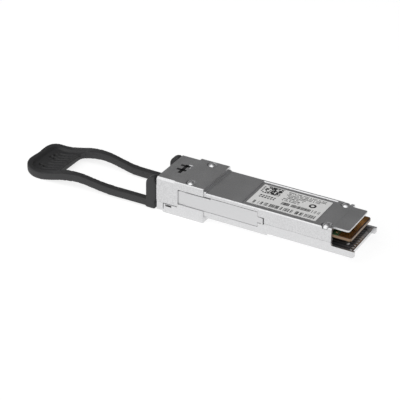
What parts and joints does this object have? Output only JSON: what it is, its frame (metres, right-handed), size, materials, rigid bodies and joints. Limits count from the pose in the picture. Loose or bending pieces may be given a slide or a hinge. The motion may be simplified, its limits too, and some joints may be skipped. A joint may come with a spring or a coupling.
{
  "type": "optical transceiver module",
  "caption": "Slim metal pluggable fibre-optic transceiver with duplex ports at one end, a card edge at the other and a pull tab that slides the latch arms to release it.",
  "frame": {"origin": "under the middle of the whole module with its tab, on the plane of its lowest point", "axes": "+X from the fibre ports to the card edge, which is the way it slides into a cage; +Z is the label side; +Y completes a right-handed frame"},
  "size_m": [0.1264, 0.0224, 0.0135],
  "materials": {
    "cast_housing": "satin nickel-plated zinc die casting",
    "cast_cover": "satin nickel-plated zinc die casting, fine bead-blasted roof",
    "label_film": "matte polyester label with printed marks",
    "port_plastic": "moulded glass-filled polymer",
    "gasket": "conductive elastomer",
    "barrel_steel": "turned stainless steel",
    "zirconia": "polished zirconia ceramic",
    "gold_can": "gold-plated Kovar package",
    "nickel_can": "nickel-plated package",
    "flex_film": "polyimide flexible circuit",
    "clamp_steel": "stamped stainless steel",
    "board_laminate": "glass-epoxy board with green solder mask",
    "contact_gold": "hard gold plating",
    "chip_epoxy": "moulded epoxy package",
    "ferrite": "sintered ferrite",
    "thermal_silicone": "soft silicone gap pad",
    "latch_steel": "stamped and folded stainless steel",
    "spring_wire": "drawn spring steel wire",
    "tab_elastomer": "matte moulded thermoplastic elastomer",
    "screw_steel": "bright nickel-plated steel"
  },
  "bodies": {
    "module": {"bottom_housing": "cast_housing", "top_cover": "cast_cover", "label": "label_film", "port_receptacle": "port_plastic", "receptacle_gasket": "gasket", "transmit_barrel": "barrel_steel", "receive_barrel": "barrel_steel", "transmit_stub": "zirconia", "receive_stub": "zirconia", "transmit_subassembly": "gold_can", "receive_subassembly": "nickel_can", "transmit_flex": "flex_film", "receive_flex": "flex_film", "barrel_clamp": "clamp_steel", "circuit_board": "board_laminate", "top_contacts": "contact_gold", "bottom_contacts": "contact_gold", "retimer_chip": "chip_epoxy", "laser_driver": "chip_epoxy", "receiver_amplifier": "chip_epoxy", "microcontroller": "chip_epoxy", "transmit_inductor": "ferrite", "receive_inductor": "ferrite", "retimer_pad": "thermal_silicone", "optics_pad": "thermal_silicone", "near_return_spring": "spring_wire", "far_return_spring": "spring_wire", "near_head_screw": "screw_steel", "far_head_screw": "screw_steel", "near_nose_screw": "screw_steel", "far_nose_screw": "screw_steel"},
    "release": {"pull_tab": "tab_elastomer", "release_slider": "latch_steel"}
  },
  "joints": [
    {"name": "tab_release", "type": "slide", "parent": "module", "child": "release", "axis": [-1, 0, 0], "range_m": [0, 0.0025], "stiffness_N_per_m": 800, "springref_m": -0.001, "deforming": ["near_return_spring", "far_return_spring"]}
  ]
}
